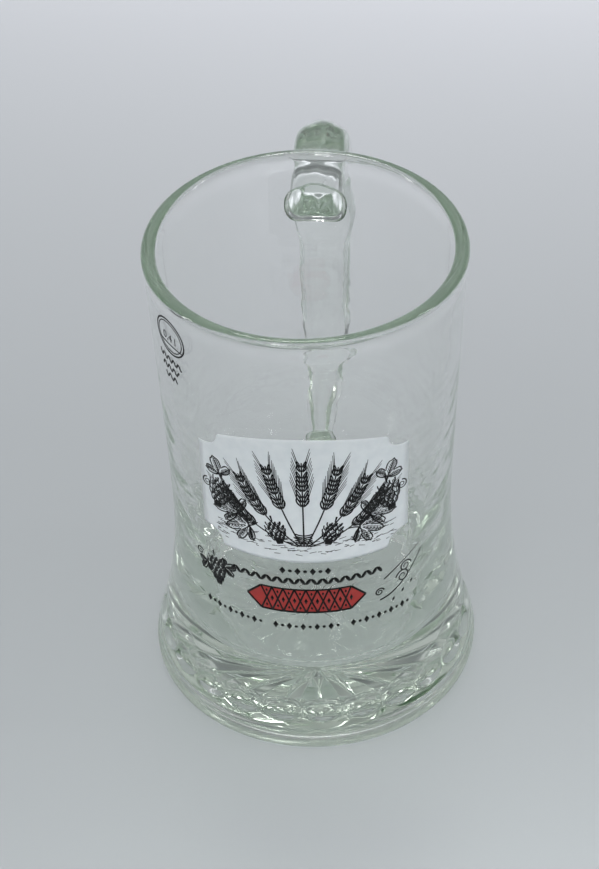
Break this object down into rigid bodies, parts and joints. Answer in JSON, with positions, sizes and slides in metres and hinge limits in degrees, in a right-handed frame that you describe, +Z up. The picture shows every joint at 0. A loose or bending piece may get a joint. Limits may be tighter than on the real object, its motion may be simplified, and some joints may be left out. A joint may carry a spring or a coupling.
{
  "type": "beer mug",
  "caption": "Clear pressed glass beer mug with a waisted body, a heavy foot with a thumbprint ring and star base, a seated handle and an enamel print.",
  "frame": {"origin": "on the mug's axis, in the plane of the ring it rests on; the centre of the underside lies 0.6 mm above it", "axes": "+Z up along the mug's axis, +Y towards the handle, -Y the printed front, +X to the right seen from the front"},
  "size_m": [0.0922, 0.1295, 0.1413],
  "materials": {
    "body_glass": "fire-polished pressed soda-lime glass",
    "handle_glass": "fire-polished pressed soda-lime glass",
    "white_enamel": "fired screen-printed enamel, satin gloss",
    "red_enamel": "fired screen-printed enamel, satin gloss"
  },
  "bodies": {
    "root": {"glass_body": "body_glass", "handle": "handle_glass", "enamel_panel": "white_enamel", "enamel_band": "red_enamel"}
  },
  "joints": []
}
